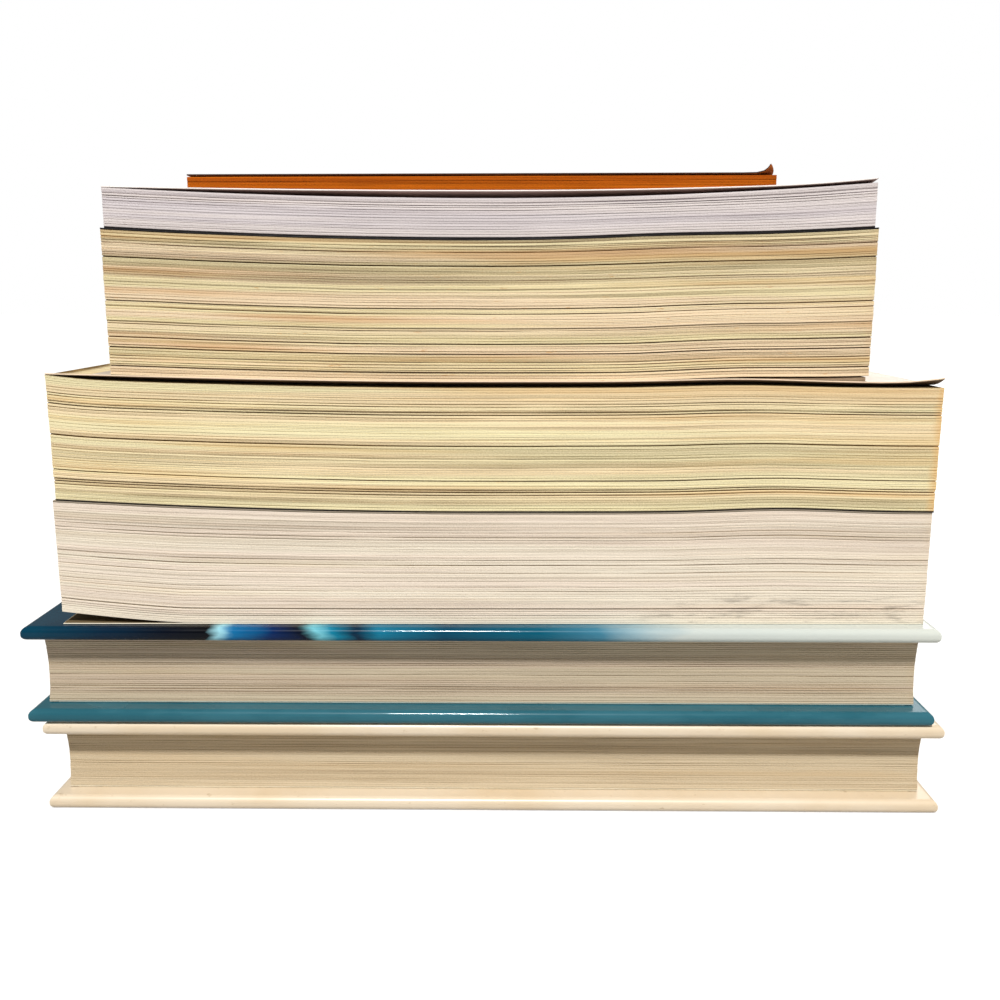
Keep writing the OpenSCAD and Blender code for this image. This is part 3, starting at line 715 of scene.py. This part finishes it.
last_leaves = leaf_block(
    "thick_pocket_book_last_leaves", 16, high.x - LAST_LEAVES_LENGTH, high.x - LAST_LEAVES_END,
    thick_floor, last_leaves_top, lambda share: low.y + LAST_LEAVES_BACK, lambda share: high.y,
    layer=0.2, uneven=0.03, parted=0.05, waviness=0.0,
)
settle(last_leaves, leaf_material("thick_pocket_book_last_shaded"), "brown_pages")

# %% Make the two thin blocks
soft_block("slim_pocket_book", 14, "lavender_pages", layer=0.58, uneven=0.04, parted=0.12, waviness=0.05)
soft_block("booklet", 15, "orange_pages", layer=0.36, uneven=0.05, parted=0.12, waviness=0.03)

# %% [markdown]
# ## Blocks of the two hardbacks
#
# A sewn hardback's spine is hammered round before it is cased in, and the fore edge is hollow by the
# same amount. Both are arcs over the height of the block. The two books lie turned by less than a
# degree, so their blocks are worked out straight and then turned about the book's middle.

# %% Turned books
TURNS = {"cream_hardback": -0.7, "blue_hardback": -0.6}
CENTRES = {}


def turned(points, turn, centre):
    """Points turned about an upright axis through a centre."""
    angle = math.radians(turn)
    c, s = math.cos(angle), math.sin(angle)
    dx, dy = points[:, 0] - centre[0], points[:, 1] - centre[1]
    return np.column_stack([centre[0] + c * dx - s * dy, centre[1] + s * dx + c * dy, points[:, 2]])


def straight_box(node, book):
    """Lowest and highest corners of a CAD piece after its book's turn is taken out."""
    centre = CENTRES[book]
    points = np.array([v.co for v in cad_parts[node].data.vertices])
    points = turned(points, -TURNS[book], centre)
    return points.min(0), points.max(0)


for book in TURNS:
    low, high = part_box(book + "_cover_wrap")
    CENTRES[book] = ((low.x + high.x) / 2, (low.y + high.y) / 2)
    low, high = straight_box(book + "_cover_wrap", book)
    print(book, "is", [round(v / MM, 1) for v in high - low], "mm")


# %% A hardback's block
SPINE_ROUND = 1.2 * MM


def hardback_block(book, seed, **cut):
    """A hardback's leaves, with a hollow fore edge and a round spine."""
    node = book + "_pages"
    low, high = straight_box(node, book)
    height = high[2] - low[2]
    radius = height ** 2 / (8 * SPINE_ROUND) + SPINE_ROUND / 2

    def bow(share):
        return math.sqrt(radius ** 2 - ((share - 0.5) * height) ** 2) - (radius - SPINE_ROUND)

    piece = leaf_block(
        book + "_leaves", seed, low[0], high[0], lambda x: low[2], lambda x: high[2],
        lambda share: low[1] + bow(share), lambda share: high[1] - SPINE_ROUND + bow(share), **cut,
    )
    co = np.array([v.co for v in piece.data.vertices])
    piece.data.vertices.foreach_set("co", turned(co, TURNS[book], CENTRES[book]).ravel())
    piece.data.update()
    settle(piece, leaf_material(book), "tan_pages", node)


# %% Make the two hardback blocks
hardback_block("cream_hardback", 21, layer=0.5, uneven=0.035, parted=0.06, waviness=0.04)
hardback_block("blue_hardback", 22, layer=0.5, uneven=0.04, parted=0.07, waviness=0.04)

# %% [markdown]
# ## Card covers
#
# A paperback's cover is one sheet of printed card, folded twice round the spine. It could be a thin box
# on each side, but the folds, the lifted fore edge and the curled corners are what make it look used,
# so each cover is one closed mesh: a section through front, spine and back, drawn again at every
# station along the book. Its outer faces come from the CAD piece. The mesh keeps what the print needs:
# a flat map in millimetres, and values that tell front from back, inside from outside, and how near a
# cut edge is.
#
# One cover has a front corner that thumbs have rolled up into a small horn. The card is built flat
# there, and its points are then turned about a slanting line across the corner, the further from the
# line the more, as paper rolls round a pencil.

# %% A corner that rolls up
def roll_corner(points, count, panel, x1, y0, width, radius):
    """Rolls the head's fore corner of a card's front about a slanting line, as a thumb would."""
    slant = np.array([1, -1]) / math.sqrt(2)
    for face, height in ((slice(0, panel), CARD), (slice(2 * count - panel, 2 * count), 0.0)):
        part = points[:, face]
        beyond = (width - (x1 - part[..., 0]) - (part[..., 1] - y0)) / math.sqrt(2)
        beyond = np.maximum(beyond, 0)
        angle = beyond / radius
        reach = (radius - height) * np.sin(angle) - beyond
        part[..., 0] += slant[0] * reach
        part[..., 1] += slant[1] * reach
        part[..., 2] += (radius - height) * (1 - np.cos(angle))


# %% One mesh from a card's sections
def card_mesh(name, xs, points, panel, spine_middle):
    """Joins sections to one closed mesh, with a flat map whose middle is the spine's middle, and values
    that tell its faces apart. Panel is how many points of a section lie on the front."""
    columns, around = points.shape[:2]
    count = around // 2
    middle = points[columns // 2, :count]
    path = np.concatenate([[0], np.cumsum(np.hypot(np.diff(middle[:, 1]), np.diff(middle[:, 2])))]) / MM
    path = path[spine_middle] - path
    path = np.concatenate([path, path[::-1]])

    i = np.arange(columns - 1)[:, None]
    p = np.arange(around)[None, :]
    q = (p + 1) % around
    faces = np.stack([i * around + p, (i + 1) * around + p, (i + 1) * around + q, i * around + q], -1)
    faces = faces.reshape(-1, 4).tolist()
    for column, flip in ((0, False), (columns - 1, True)):
        for k in range(count - 1):
            corners = [k, k + 1, around - 2 - k, around - 1 - k]
            if flip:
                corners.reverse()
            faces.append([column * around + c for c in corners])

    u = (xs - (xs[0] + xs[-1]) / 2) / MM
    spot = np.stack(np.broadcast_arrays(u[:, None], path[None, :]), -1).reshape(-1, 2)
    corner_uv = spot[np.array(faces).ravel()]
    order = np.concatenate([np.arange(count), np.arange(count)[::-1]])
    rim = np.zeros((columns, around))
    rim[:, [0, count - 1, count, around - 1]] = 1
    rim[[0, -1], :] = 1
    inside = np.zeros((columns, around))
    inside[:, count:] = 1
    values = {
        "front": np.broadcast_to((order < panel).astype(float), (columns, around)),
        "back": np.broadcast_to((order >= count - panel).astype(float), (columns, around)),
        "inside": inside,
        "rim": rim,
    }
    piece = mesh_piece(name, points.reshape(-1, 3).tolist(), faces, values, corner_uv, uv_name="card",
                       smooth=True)
    print(f"{name}: {columns} stations of {around} points")
    return piece


# %% Folded card
ARC_POINTS = 5
CREASE_HALF_WIDTH = 0.45 * MM
CREASE_DEPTH = 0.14 * MM
STATIONS = (0.3 * MM, 1.6, 3.2 * MM)
PANEL_ROWS = (0.3 * MM, 1.45, 7 * MM)
SPINE_ROW = 1.3 * MM


def folded_card(name, top_node, base_node, fold=0.9 * MM, creases=(), extra=None, horn=None):
    """A folded cover between the upper face of one CAD piece and the lower face of another. Creases are
    shares of the spine's height, and extra(x, y) is a further lift of the front. A horn is the width
    and the radius of a front corner at the head that has rolled up."""
    top_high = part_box(top_node)[1]
    base_low, base_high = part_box(base_node)
    x0, x1 = base_low.x, base_high.x
    y0, spine_y = base_low.y, max(base_high.y, top_high.y)
    xs = x0 + both_ends(x1 - x0, *STATIONS)
    depths = y0 + graded(spine_y - fold - y0, *PANEL_ROWS)
    spine_rows = max(6, round((top_high.z - base_low.z) / SPINE_ROW))
    quarter = [math.pi / 2 * k / ARC_POINTS for k in range(1, ARC_POINTS)]

    def section(x):
        outer = []
        for y in depths:
            aside = max(horn[0] - (x1 - x) - (y - y0), 0) / 2 if horn else 0
            z = face_height(top_node, x - aside, y + aside) + (extra(x, y) if extra else 0)
            outer.append((y, z, 0, 1))
        top_z = outer[-1][1] - fold
        base_z = face_height(base_node, x, spine_y - fold - HAIR, above=False) + fold
        for t in quarter:
            outer.append((spine_y - fold + fold * math.sin(t), top_z + fold * math.cos(t),
                          math.sin(t), math.cos(t)))
        for k in range(spine_rows + 1):
            share = 1 - k / spine_rows
            away = [(share - at) * (top_z - base_z) / CREASE_HALF_WIDTH for at in creases]
            pressed = sum(math.exp(-a ** 2) for a in away)
            outer.append((spine_y - CREASE_DEPTH * pressed, base_z + (top_z - base_z) * share, 1, 0))
        for t in reversed(quarter):
            outer.append((spine_y - fold + fold * math.sin(t), base_z - fold * math.cos(t),
                          math.sin(t), -math.cos(t)))
        for y in depths[::-1]:
            outer.append((y, face_height(base_node, x, y, above=False), 0, -1))
        outer = np.array(outer)
        inner = outer[:, :2] - CARD * outer[:, 2:]
        loop = np.concatenate([outer[:, :2], inner[::-1]])
        return np.column_stack([np.full(len(loop), x), loop])

    points = np.array([section(x) for x in xs])
    if horn:
        roll_corner(points, points.shape[1] // 2, len(depths), x1, y0, *horn)
    return card_mesh(name, xs, points, len(depths) + len(quarter) // 2,
                     len(depths) + len(quarter) + spine_rows // 2)


# %% [markdown]
# ## The look of printed card
#
# Two groups serve all the covers. One makes a field of ink: a rectangle on the card's flat map with a
# slightly soft edge. Fields stand in for the pictures and panels of a real cover, and nothing is
# lettered. The other wears the card: ink rubs off along cut edges and folds, hands leave a grey bloom,
# and the varnish gets fine scratches. It also colours the cut edges, and where that colour is near
# black it is partly painted shade in the gap beside the card.

# %% Group for a field of ink
field_look, given, out = group(
    "field of ink", (), ("Middle X", "Middle Y", "Half Width", "Half Height", "Softness"), ("Mask",)
)
g = field_look
card_map = add(g, "ShaderNodeUVMap", uv_map="card").outputs[0]
split = add(g, "ShaderNodeSeparateXYZ", {0: card_map})
away_x = sums(g, "ABSOLUTE", sums(g, "SUBTRACT", split.outputs[0], given["Middle X"]))
away_y = sums(g, "ABSOLUTE", sums(g, "SUBTRACT", split.outputs[1], given["Middle Y"]))
away = sums(g, "MAXIMUM", sums(g, "SUBTRACT", away_x, given["Half Width"]),
            sums(g, "SUBTRACT", away_y, given["Half Height"]))
g.links.new(between(g, away, given["Softness"], 0.0), out["Mask"])

# %% Group for worn card
GREASE = (0.23, 0.19, 0.15, 1)
YELLOWING = (0.55, 0.48, 0.38, 1)

worn_look, given, out = group(
    "worn card", ("Ink", "Bare Card", "Inside", "Cut Edge"), ("Rubbing", "Grime", "Gloss"),
    ("Colour", "Roughness", "Height"),
)
g = worn_look
card_map = add(g, "ShaderNodeUVMap", uv_map="card").outputs[0]
rim = own_value(g, "rim")
inside = own_value(g, "inside")
scuff = noise(g, card_map, (0.7, 0.7, 1), detail=4, roughness=0.7)
scratch = noise(g, card_map, (0.12, 2.6, 1), detail=3, roughness=0.6)
cloud = noise(g, card_map, (0.03, 0.05, 1), detail=3)
fibre = noise(g, card_map, (2.2, 3.1, 1), detail=3, roughness=0.6)
rub = sums(g, "ADD", times(g, rim, 0.55), times(g, scuff, 0.75))
rub = times(g, between(g, rub, 0.62, 0.95), given["Rubbing"])
edge_and_shade_mask = between(g, rim, 0.8, 0.98)
grime = times(g, between(g, cloud, 0.4, 0.7), given["Grime"])
grimy = mixed(g, grime, given["Ink"], GREASE, mode="MULTIPLY")
inked = mixed(g, rub, grimy, given["Bare Card"])
aged = between(g, cloud, 0.35, 0.7, 0.0, 0.5)
uncoated = mixed(g, aged, given["Inside"], YELLOWING, mode="MULTIPLY")
faces = mixed(g, inside, inked, uncoated)
g.links.new(mixed(g, edge_and_shade_mask, faces, given["Cut Edge"]), out["Colour"])
gloss = sums(g, "ADD", given["Gloss"], between(g, scratch, 0.4, 0.75, -0.04, 0.14))
gloss = sums(g, "ADD", gloss, times(g, sums(g, "MAXIMUM", rub, inside), 0.4), clamp=True)
g.links.new(gloss, out["Roughness"])
card_height = sums(g, "ADD", times(g, fibre, 0.35), times(g, scratch, 0.25))
card_height = sums(g, "SUBTRACT", card_height, times(g, rub, 0.5))
g.links.new(card_height, out["Height"])


# %% Material for one cover
def card_material(book, front, spine, back, inside, bare, front_edge_and_shade, back_edge_and_shade, fields, rubbing=0.5,
                  grime=0.3, gloss=0.35):
    """A printed cover, with colours given as they look on a screen. Front, spine and back are plain
    inks, inside and bare are the card's own colours, and the edges are those of the front and of the
    back. A near-black edge stands partly for dark print and partly for painted shade in the gap beside
    the card, and one cover's dark inside is partly painted shade. Each field adds a colour over the
    inks, as (colour, middle x, middle y, half width, half height, softness) in mm on the flat card."""
    material, tree, shader = finish("card of the " + book, Specular_IOR_Level=0.25)
    is_back = own_value(tree, "back")
    ink = mixed(tree, own_value(tree, "front"), rgb(*spine), rgb(*front))
    ink = mixed(tree, is_back, ink, rgb(*back))
    for colour, x, y, half_width, half_height, softness in fields:
        mask = placed(tree, field_look, Middle_X=x, Middle_Y=y, Half_Width=half_width,
                      Half_Height=half_height, Softness=softness)
        ink = mixed(tree, mask["Mask"], ink, rgb(*colour))
    cut = mixed(tree, is_back, rgb(*front_edge_and_shade), rgb(*back_edge_and_shade))
    look = placed(tree, worn_look, Ink=ink, Bare_Card=rgb(*bare), Inside=rgb(*inside), Cut_Edge=cut,
                  Rubbing=rubbing, Grime=grime, Gloss=gloss)
    feed(tree, shader, Base_Color=look["Colour"], Roughness=look["Roughness"])
    bumped(tree, shader, look["Height"], 0.35, 0.08 * MM)
    return material


# %% Cards of the four paperbacks
# The white paperback's inside is a dark olive-brown that is partly painted shade, for the inner face that
# lies in shadow under its leaves.
white_card = card_material(
    "white paperback", (196, 178, 150), (86, 92, 72), (52, 46, 34), (120, 104, 76), (226, 218, 202),
    (150, 138, 120), (236, 228, 208), rubbing=0.55, grime=0.35,
    fields=(((206, 196, 170), 0, 0, 70, 9, 0.5), ((150, 60, 40), -84, 0, 10, 13.2, 0.5)),
)
# The near-black back edges of this card and of the slim one, and both edges of the thick one, stand
# partly for dark print and partly for painted shade in the gaps between the books.
yellow_card = card_material(
    "yellowed paperback", (226, 214, 198), (214, 190, 140), (44, 32, 40), (120, 96, 72),
    (236, 226, 214), (232, 208, 180), (8, 4, 4), rubbing=0.6, grime=0.3,
    fields=(((120, 34, 30), 60, 0, 30, 13.8, 0.4), ((92, 104, 120), -62, 0, 26, 9, 0.4)),
)
dark_card = card_material(
    "thick pocket book", (40, 26, 24), (52, 30, 26), (34, 22, 20), (112, 96, 80), (150, 130, 108),
    (8, 3, 3), (30, 4, 4), rubbing=0.4, grime=0.25,
    fields=(((188, 148, 62), 0, 0, 48, 11, 0.5), ((52, 30, 26), 0, 0, 45, 9.5, 0.4)),
)
pale_card = card_material(
    "slim pocket book", (236, 230, 226), (70, 40, 60), (32, 26, 28), (180, 150, 142), (244, 238, 230),
    (246, 238, 234), (8, 3, 5), rubbing=0.5, grime=0.15,
    fields=(((84, 58, 80), 0, 38, 74, 28, 3.0), ((214, 196, 150), 0, 0, 52, 2.6, 0.3)),
)

# %% [markdown]
# ## Covers of the four paperbacks
#
# Each cover follows its CAD piece. The yellowed book's front stands off the leaves along the fore edge,
# widest in the middle of the book. The CAD piece has most of that lift, and a small further lift of the
# card's edge, which dies away over a few millimetres of depth, gives the dark line under it.

# %% The yellowed book's lifted edge
YELLOW_LIFT_DEPTH = 8 * MM
YELLOW_EXTRA_LIFT = 0.45 * MM
yellow_low, yellow_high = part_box("yellow_paperback_cover")


def yellow_extra(x, y):
    """A further lift of the front along its fore edge, closing towards both ends."""
    across = (2 * x - yellow_low.x - yellow_high.x) / (yellow_high.x - yellow_low.x)
    behind = min((y - yellow_low.y) / YELLOW_LIFT_DEPTH, 1)
    return YELLOW_EXTRA_LIFT * (1 - behind) ** 2 * (1 - across ** 4)


# %% Make the four covers
def cover(book, material, slot, **shape):
    """A paperback's cover in the place of its CAD piece."""
    node = book + "_cover"
    settle(folded_card(book + "_card", node, node, **shape), material, slot, node)


cover("white_paperback", white_card, "white_card", creases=(0.3, 0.68))
cover("yellow_paperback", yellow_card, "yellow_card", creases=(0.22, 0.5, 0.74), extra=yellow_extra)
cover("thick_pocket_book", dark_card, "dark_card", creases=(0.18, 0.4, 0.6, 0.8))
cover("slim_pocket_book", pale_card, "pale_card", creases=(0.5,))

# %% [markdown]
# ## The booklet's cover
#
# The booklet's front cover opens: it turns on the top fold of its spine. On the real thing that fold is
# bent card, so front, spine and back are one mesh here too, and the card curves smoothly round the fold.

# %% Make the booklet's cover
HORN_WIDTH = 4.6 * MM
HORN_RADIUS = 1.7 * MM

booklet = folded_card("booklet_card", "booklet_front_cover", "booklet_back_cover", fold=0.6 * MM,
                      horn=(HORN_WIDTH, HORN_RADIUS))
booklet.data.materials.append(card_material(
    "booklet", (44, 26, 18), (36, 22, 16), (34, 20, 14), (176, 92, 30), (70, 42, 26), (56, 26, 10),
    (30, 16, 12), rubbing=0.35, grime=0.2, gloss=0.4,
    fields=(((150, 74, 22), 0, 56, 50, 26, 0.5), ((44, 26, 18), 0, 56, 47, 23, 0.5)),
))
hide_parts("booklet_front_cover", "booklet_back_cover")

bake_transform(booklet)

# %% [markdown]
# ## Finishes of the pieces kept from the CAD model
#
# The hardbacks' cases are shaped in full in the CAD model, with rounded board edges, grooves and
# turned-in paper, so they keep their meshes and only get finishes. Their coordinates are the object's
# own, in metres, so every pattern is sized from there.

# %% Group for paper and board grain
grain_look, given, out = group("paper grain", ("Light", "Dark"), ("Grain per mm",), ("Colour", "Height"))
g = grain_look
own_place = add(g, "ShaderNodeTexCoord").outputs["Object"]
per_mm = add(g, "ShaderNodeVectorMath", {0: own_place, "Scale": 1 / MM}, operation="SCALE").outputs[0]
grain_place = add(g, "ShaderNodeVectorMath", {0: per_mm}, operation="SCALE")
g.links.new(given["Grain per mm"], grain_place.inputs["Scale"])
grain = noise(g, grain_place.outputs[0], detail=4, roughness=0.65)
mottle = noise(g, per_mm, (0.06, 0.06, 0.06), detail=3)
grain_mask = sums(g, "ADD", between(g, grain, 0.35, 0.7, 0, 0.5), between(g, mottle, 0.35, 0.7, 0, 0.5))
g.links.new(mixed(g, grain_mask, given["Light"], given["Dark"]), out["Colour"])
g.links.new(grain, out["Height"])


# %% Plain papers, board, glue and cloth
def grained_material(name, light, dark, grain_per_mm, roughness, depth, **shader_values):
    """A plain material with a grain, from two colours as they look on a screen."""
    material, tree, shader = finish(name, Roughness=roughness, **shader_values)
    look = placed(tree, grain_look, Light=rgb(*light), Dark=rgb(*dark), Grain_per_mm=grain_per_mm)
    feed(tree, shader, Base_Color=look["Colour"])
    bumped(tree, shader, look["Height"], 0.5, depth)
    return material


def dress(node, material):
    """Gives a kept CAD piece its material."""
    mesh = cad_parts[node].data
    mesh.materials.clear()
    mesh.materials.append(material)


greyboard = grained_material("grey board", (176, 164, 140), (132, 120, 100), 1.6, 0.95, 0.15 * MM)
cream_endpaper = grained_material("cream endpaper", (236, 228, 206), (214, 202, 172), 3, 0.85, 0.05 * MM)
green_endpaper = grained_material("green endpaper", (206, 214, 204), (184, 192, 178), 3, 0.85, 0.05 * MM)
spine_cloth = grained_material("spine cloth", (214, 206, 184), (170, 160, 136), 4, 0.95, 0.12 * MM)
band_thread = grained_material("sewn band", (226, 214, 184), (178, 158, 118), 2.5, 0.85, 0.2 * MM)
old_glue = grained_material("old spine glue", (226, 212, 170), (190, 170, 118), 0.8, 0.45, 0.2 * MM,
                            Specular_IOR_Level=0.4)

for book, endpaper in (("cream_hardback", cream_endpaper), ("blue_hardback", green_endpaper)):
    for part in ("front_board", "back_board", "spine_board"):
        dress(f"{book}_{part}", greyboard)
    for part in ("front_endpaper", "back_endpaper"):
        dress(f"{book}_{part}", endpaper)
    for part in ("headband", "tailband"):
        dress(f"{book}_{part}", band_thread)
    dress(f"{book}_spine_lining", spine_cloth)
for book in ("white_paperback", "yellow_paperback", "thick_pocket_book", "slim_pocket_book", "booklet"):
    dress(f"{book}_spine_glue", old_glue)

# %% [markdown]
# ## The two wraps
#
# A wrap is one sheet of printed and varnished paper. The cream one is plain, so it only needs slow
# clouds, a few dark specks and a little gloss. The blue one is a picture that runs from navy through
# blue and teal to near white, with two bright bands. A colour ramp along the board gives that run, a
# slow drift keeps its edges from being straight lines, and a thin clear coat gives the varnish.

# %% Cream wrap
cream_wrap, tree, shader = finish("cream wrap", Specular_IOR_Level=0.5, Coat_Weight=0.25,
                                  Coat_Roughness=0.2)
place = add(tree, "ShaderNodeTexCoord").outputs["Object"]
cloud = noise(tree, place, (25, 25, 60), detail=4, roughness=0.6)
speck = noise(tree, place, (420, 420, 700), detail=2, roughness=0.6)
skin = noise(tree, place, (900, 900, 900), detail=2)
colour = mixed(tree, between(tree, cloud, 0.38, 0.68), rgb(224, 208, 184), rgb(216, 196, 166))
colour = mixed(tree, between(tree, speck, 0.66, 0.78, 0, 0.5), colour, rgb(170, 142, 100))
feed(tree, shader, Base_Color=colour, Roughness=between(tree, cloud, 0.3, 0.7, 0.3, 0.46))
bumped(tree, shader, skin, 0.15, 0.05 * MM)
dress("cream_hardback_cover_wrap", cream_wrap)

# %% Blue wrap: the run of colours along the front board
RUN_HALF_LENGTH = 110 * MM
RUN_DRIFT = 2.5 * MM
RUN = (
    (0.01, (0, 56, 78)), (0.085, (0, 32, 54)), (0.15, (0, 8, 24)), (0.2, (0, 2, 8)),
    (0.212, (150, 206, 220)), (0.224, (10, 104, 156)), (0.267, (0, 34, 84)), (0.303, (0, 5, 20)),
    (0.315, (110, 186, 200)), (0.332, (8, 118, 148)), (0.357, (0, 24, 50)), (0.386, (12, 110, 140)),
    (0.45, (0, 64, 90)), (0.55, (0, 84, 108)), (0.62, (60, 120, 144)), (0.665, (140, 168, 178)),
    (0.71, (192, 200, 196)), (1.0, (206, 210, 202)),
)

blue_wrap, tree, shader = finish("blue wrap", Specular_IOR_Level=0.06, Coat_Weight=0.3,
                                 Coat_Roughness=0.07)
place = add(tree, "ShaderNodeTexCoord").outputs["Object"]
drift = noise(tree, place, (60, 90, 260), detail=3)
split = add(tree, "ShaderNodeSeparateXYZ", {0: place}).outputs
shifted = sums(tree, "ADD", split[0], between(tree, drift, 0.2, 0.8, -RUN_DRIFT, RUN_DRIFT))
along = add(tree, "ShaderNodeMapRange",
            {"Value": shifted, "From Min": -RUN_HALF_LENGTH, "From Max": RUN_HALF_LENGTH}).outputs[0]
ramp = add(tree, "ShaderNodeValToRGB", {0: along})
stops = ramp.color_ramp.elements
for number, (at, colour) in ((0, RUN[0]), (1, RUN[-1])):
    stops[number].position, stops[number].color = at, rgb(*colour)
for at, colour in RUN[1:-1]:
    stops.new(at).color = rgb(*colour)

# %% Blue wrap: teal back board, spine with a pale panel, and varnish
SPINE_FROM = 52 * MM
PANEL_FROM = 67.5 * MM
PANEL_HALF_LENGTH = 60 * MM
SOFT_EDGE = 1 * MM

low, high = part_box("blue_hardback_cover_wrap")
tall = high.z - low.z
upper = between(tree, split[2], low.z + 0.45 * tall, low.z + 0.55 * tall)
rear = mixed(tree, between(tree, drift, 0.3, 0.7), rgb(38, 92, 106), rgb(50, 104, 118))
sides = mixed(tree, upper, rear, ramp.outputs[0])
from_middle = sums(tree, "ABSOLUTE", split[0])
panel = times(tree, between(tree, from_middle, PANEL_HALF_LENGTH + SOFT_EDGE, PANEL_HALF_LENGTH),
              between(tree, split[1], PANEL_FROM, PANEL_FROM + SOFT_EDGE))
spine_ink = mixed(tree, panel, rgb(4, 36, 56), rgb(150, 186, 192))
printed = mixed(tree, between(tree, split[1], SPINE_FROM, SPINE_FROM + SOFT_EDGE), sides, spine_ink)
feed(tree, shader, Base_Color=printed, Roughness=between(tree, drift, 0.3, 0.7, 0.22, 0.34))
ripple = noise(tree, place, (55, 55, 90), detail=1)
skin = noise(tree, place, (700, 700, 700), detail=2)
bumped(tree, shader, sums(tree, "ADD", ripple, times(tree, skin, 0.03)), 0.5, 0.35 * MM)
dress("blue_hardback_cover_wrap", blue_wrap)
